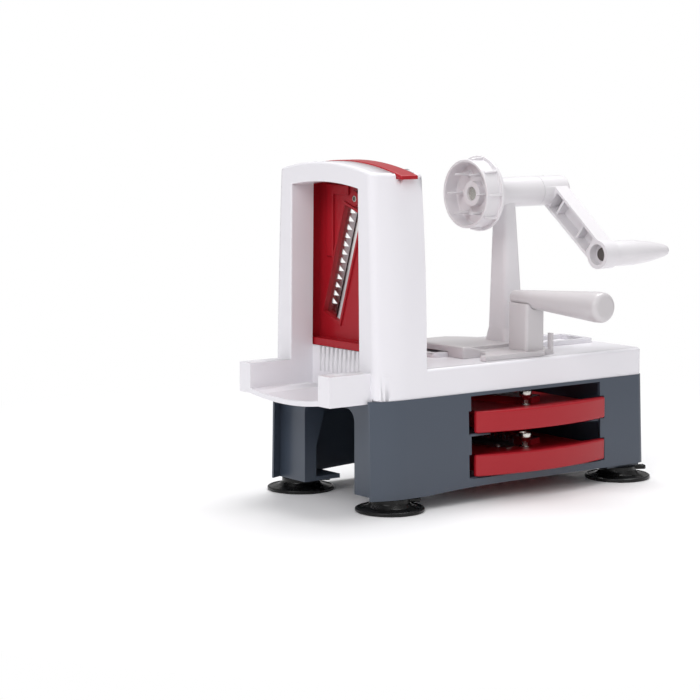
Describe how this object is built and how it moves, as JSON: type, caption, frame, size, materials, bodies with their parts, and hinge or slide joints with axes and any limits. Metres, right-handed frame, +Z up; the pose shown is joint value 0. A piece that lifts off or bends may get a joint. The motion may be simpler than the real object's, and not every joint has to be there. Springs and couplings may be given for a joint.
{
  "type": "spiralizer",
  "caption": "Hand cranked spiral slicer with a sliding carriage, a red blade insert in its tower, two spare inserts in the base and suction feet.",
  "frame": {"origin": "on the table, half way between the front and the rear suction feet, in the middle plane of the slide", "axes": "+X from the noodle chute to the crank, +Y to the side away from the stored inserts' mouth, +Z up"},
  "size_m": [0.3085, 0.198, 0.2383],
  "materials": {
    "cover_white": "glossy white",
    "housing_grey": "fine satin slate grey",
    "insert_red": "glossy red",
    "foot_rubber": "black rubber",
    "blade_steel": "bright steel",
    "fastener_steel": "zinc plated",
    "bearing_grey": "acetal grey"
  },
  "bodies": {
    "housing": {"base_housing": "housing_grey", "top_cover": "cover_white", "housing_screws": "fastener_steel", "foot_front_near": "foot_rubber", "foot_front_far": "foot_rubber", "foot_rear_near": "foot_rubber", "foot_rear_far": "foot_rubber"},
    "carriage": {"carriage_base": "cover_white", "crank_post": "cover_white", "shaft_bushings": "bearing_grey", "slide_keeper": "cover_white", "keeper_screws": "fastener_steel", "post_screws": "fastener_steel", "push_handle": "cover_white", "handle_pin": "fastener_steel"},
    "crank": {"crank_shaft": "blade_steel", "food_holder": "cover_white", "crank_arm": "cover_white", "shaft_pins": "fastener_steel", "knob_pin": "fastener_steel"},
    "knob": {"crank_knob": "cover_white"},
    "installed_insert": {"insert_front_frame": "insert_red", "insert_front_blade": "blade_steel", "insert_front_comb": "blade_steel", "insert_front_corer": "blade_steel", "insert_front_screws": "fastener_steel"},
    "upper_insert": {"insert_upper_frame": "insert_red", "insert_upper_blade": "blade_steel", "insert_upper_corer": "blade_steel", "insert_upper_screws": "fastener_steel"},
    "lower_insert": {"insert_lower_frame": "insert_red", "insert_lower_blade": "blade_steel", "insert_lower_comb": "blade_steel", "insert_lower_corer": "blade_steel", "insert_lower_screws": "fastener_steel"}
  },
  "joints": [
    {"name": "carriage_slide", "type": "slide", "parent": "housing", "child": "carriage", "axis": [1, 0, 0], "range_m": [-0.054, 0.055]},
    {"name": "crank_turn", "type": "hinge", "parent": "carriage", "child": "crank", "pos_m": [0.045, 0, 0.211], "axis": [1, 0, 0], "continuous": true},
    {"name": "knob_spin", "type": "hinge", "parent": "crank", "child": "knob", "pos_m": [0.11, -0.05642, 0.16692], "axis": [1, 0, 0], "continuous": true},
    {"name": "installed_insert_lift", "type": "slide", "parent": "housing", "child": "installed_insert", "axis": [0, 0, 1], "range_m": [0, 0.14]},
    {"name": "upper_insert_pull", "type": "slide", "parent": "housing", "child": "upper_insert", "axis": [0, -1, 0], "range_m": [0, 0.125]},
    {"name": "lower_insert_pull", "type": "slide", "parent": "housing", "child": "lower_insert", "axis": [0, -1, 0], "range_m": [0, 0.125]}
  ]
}
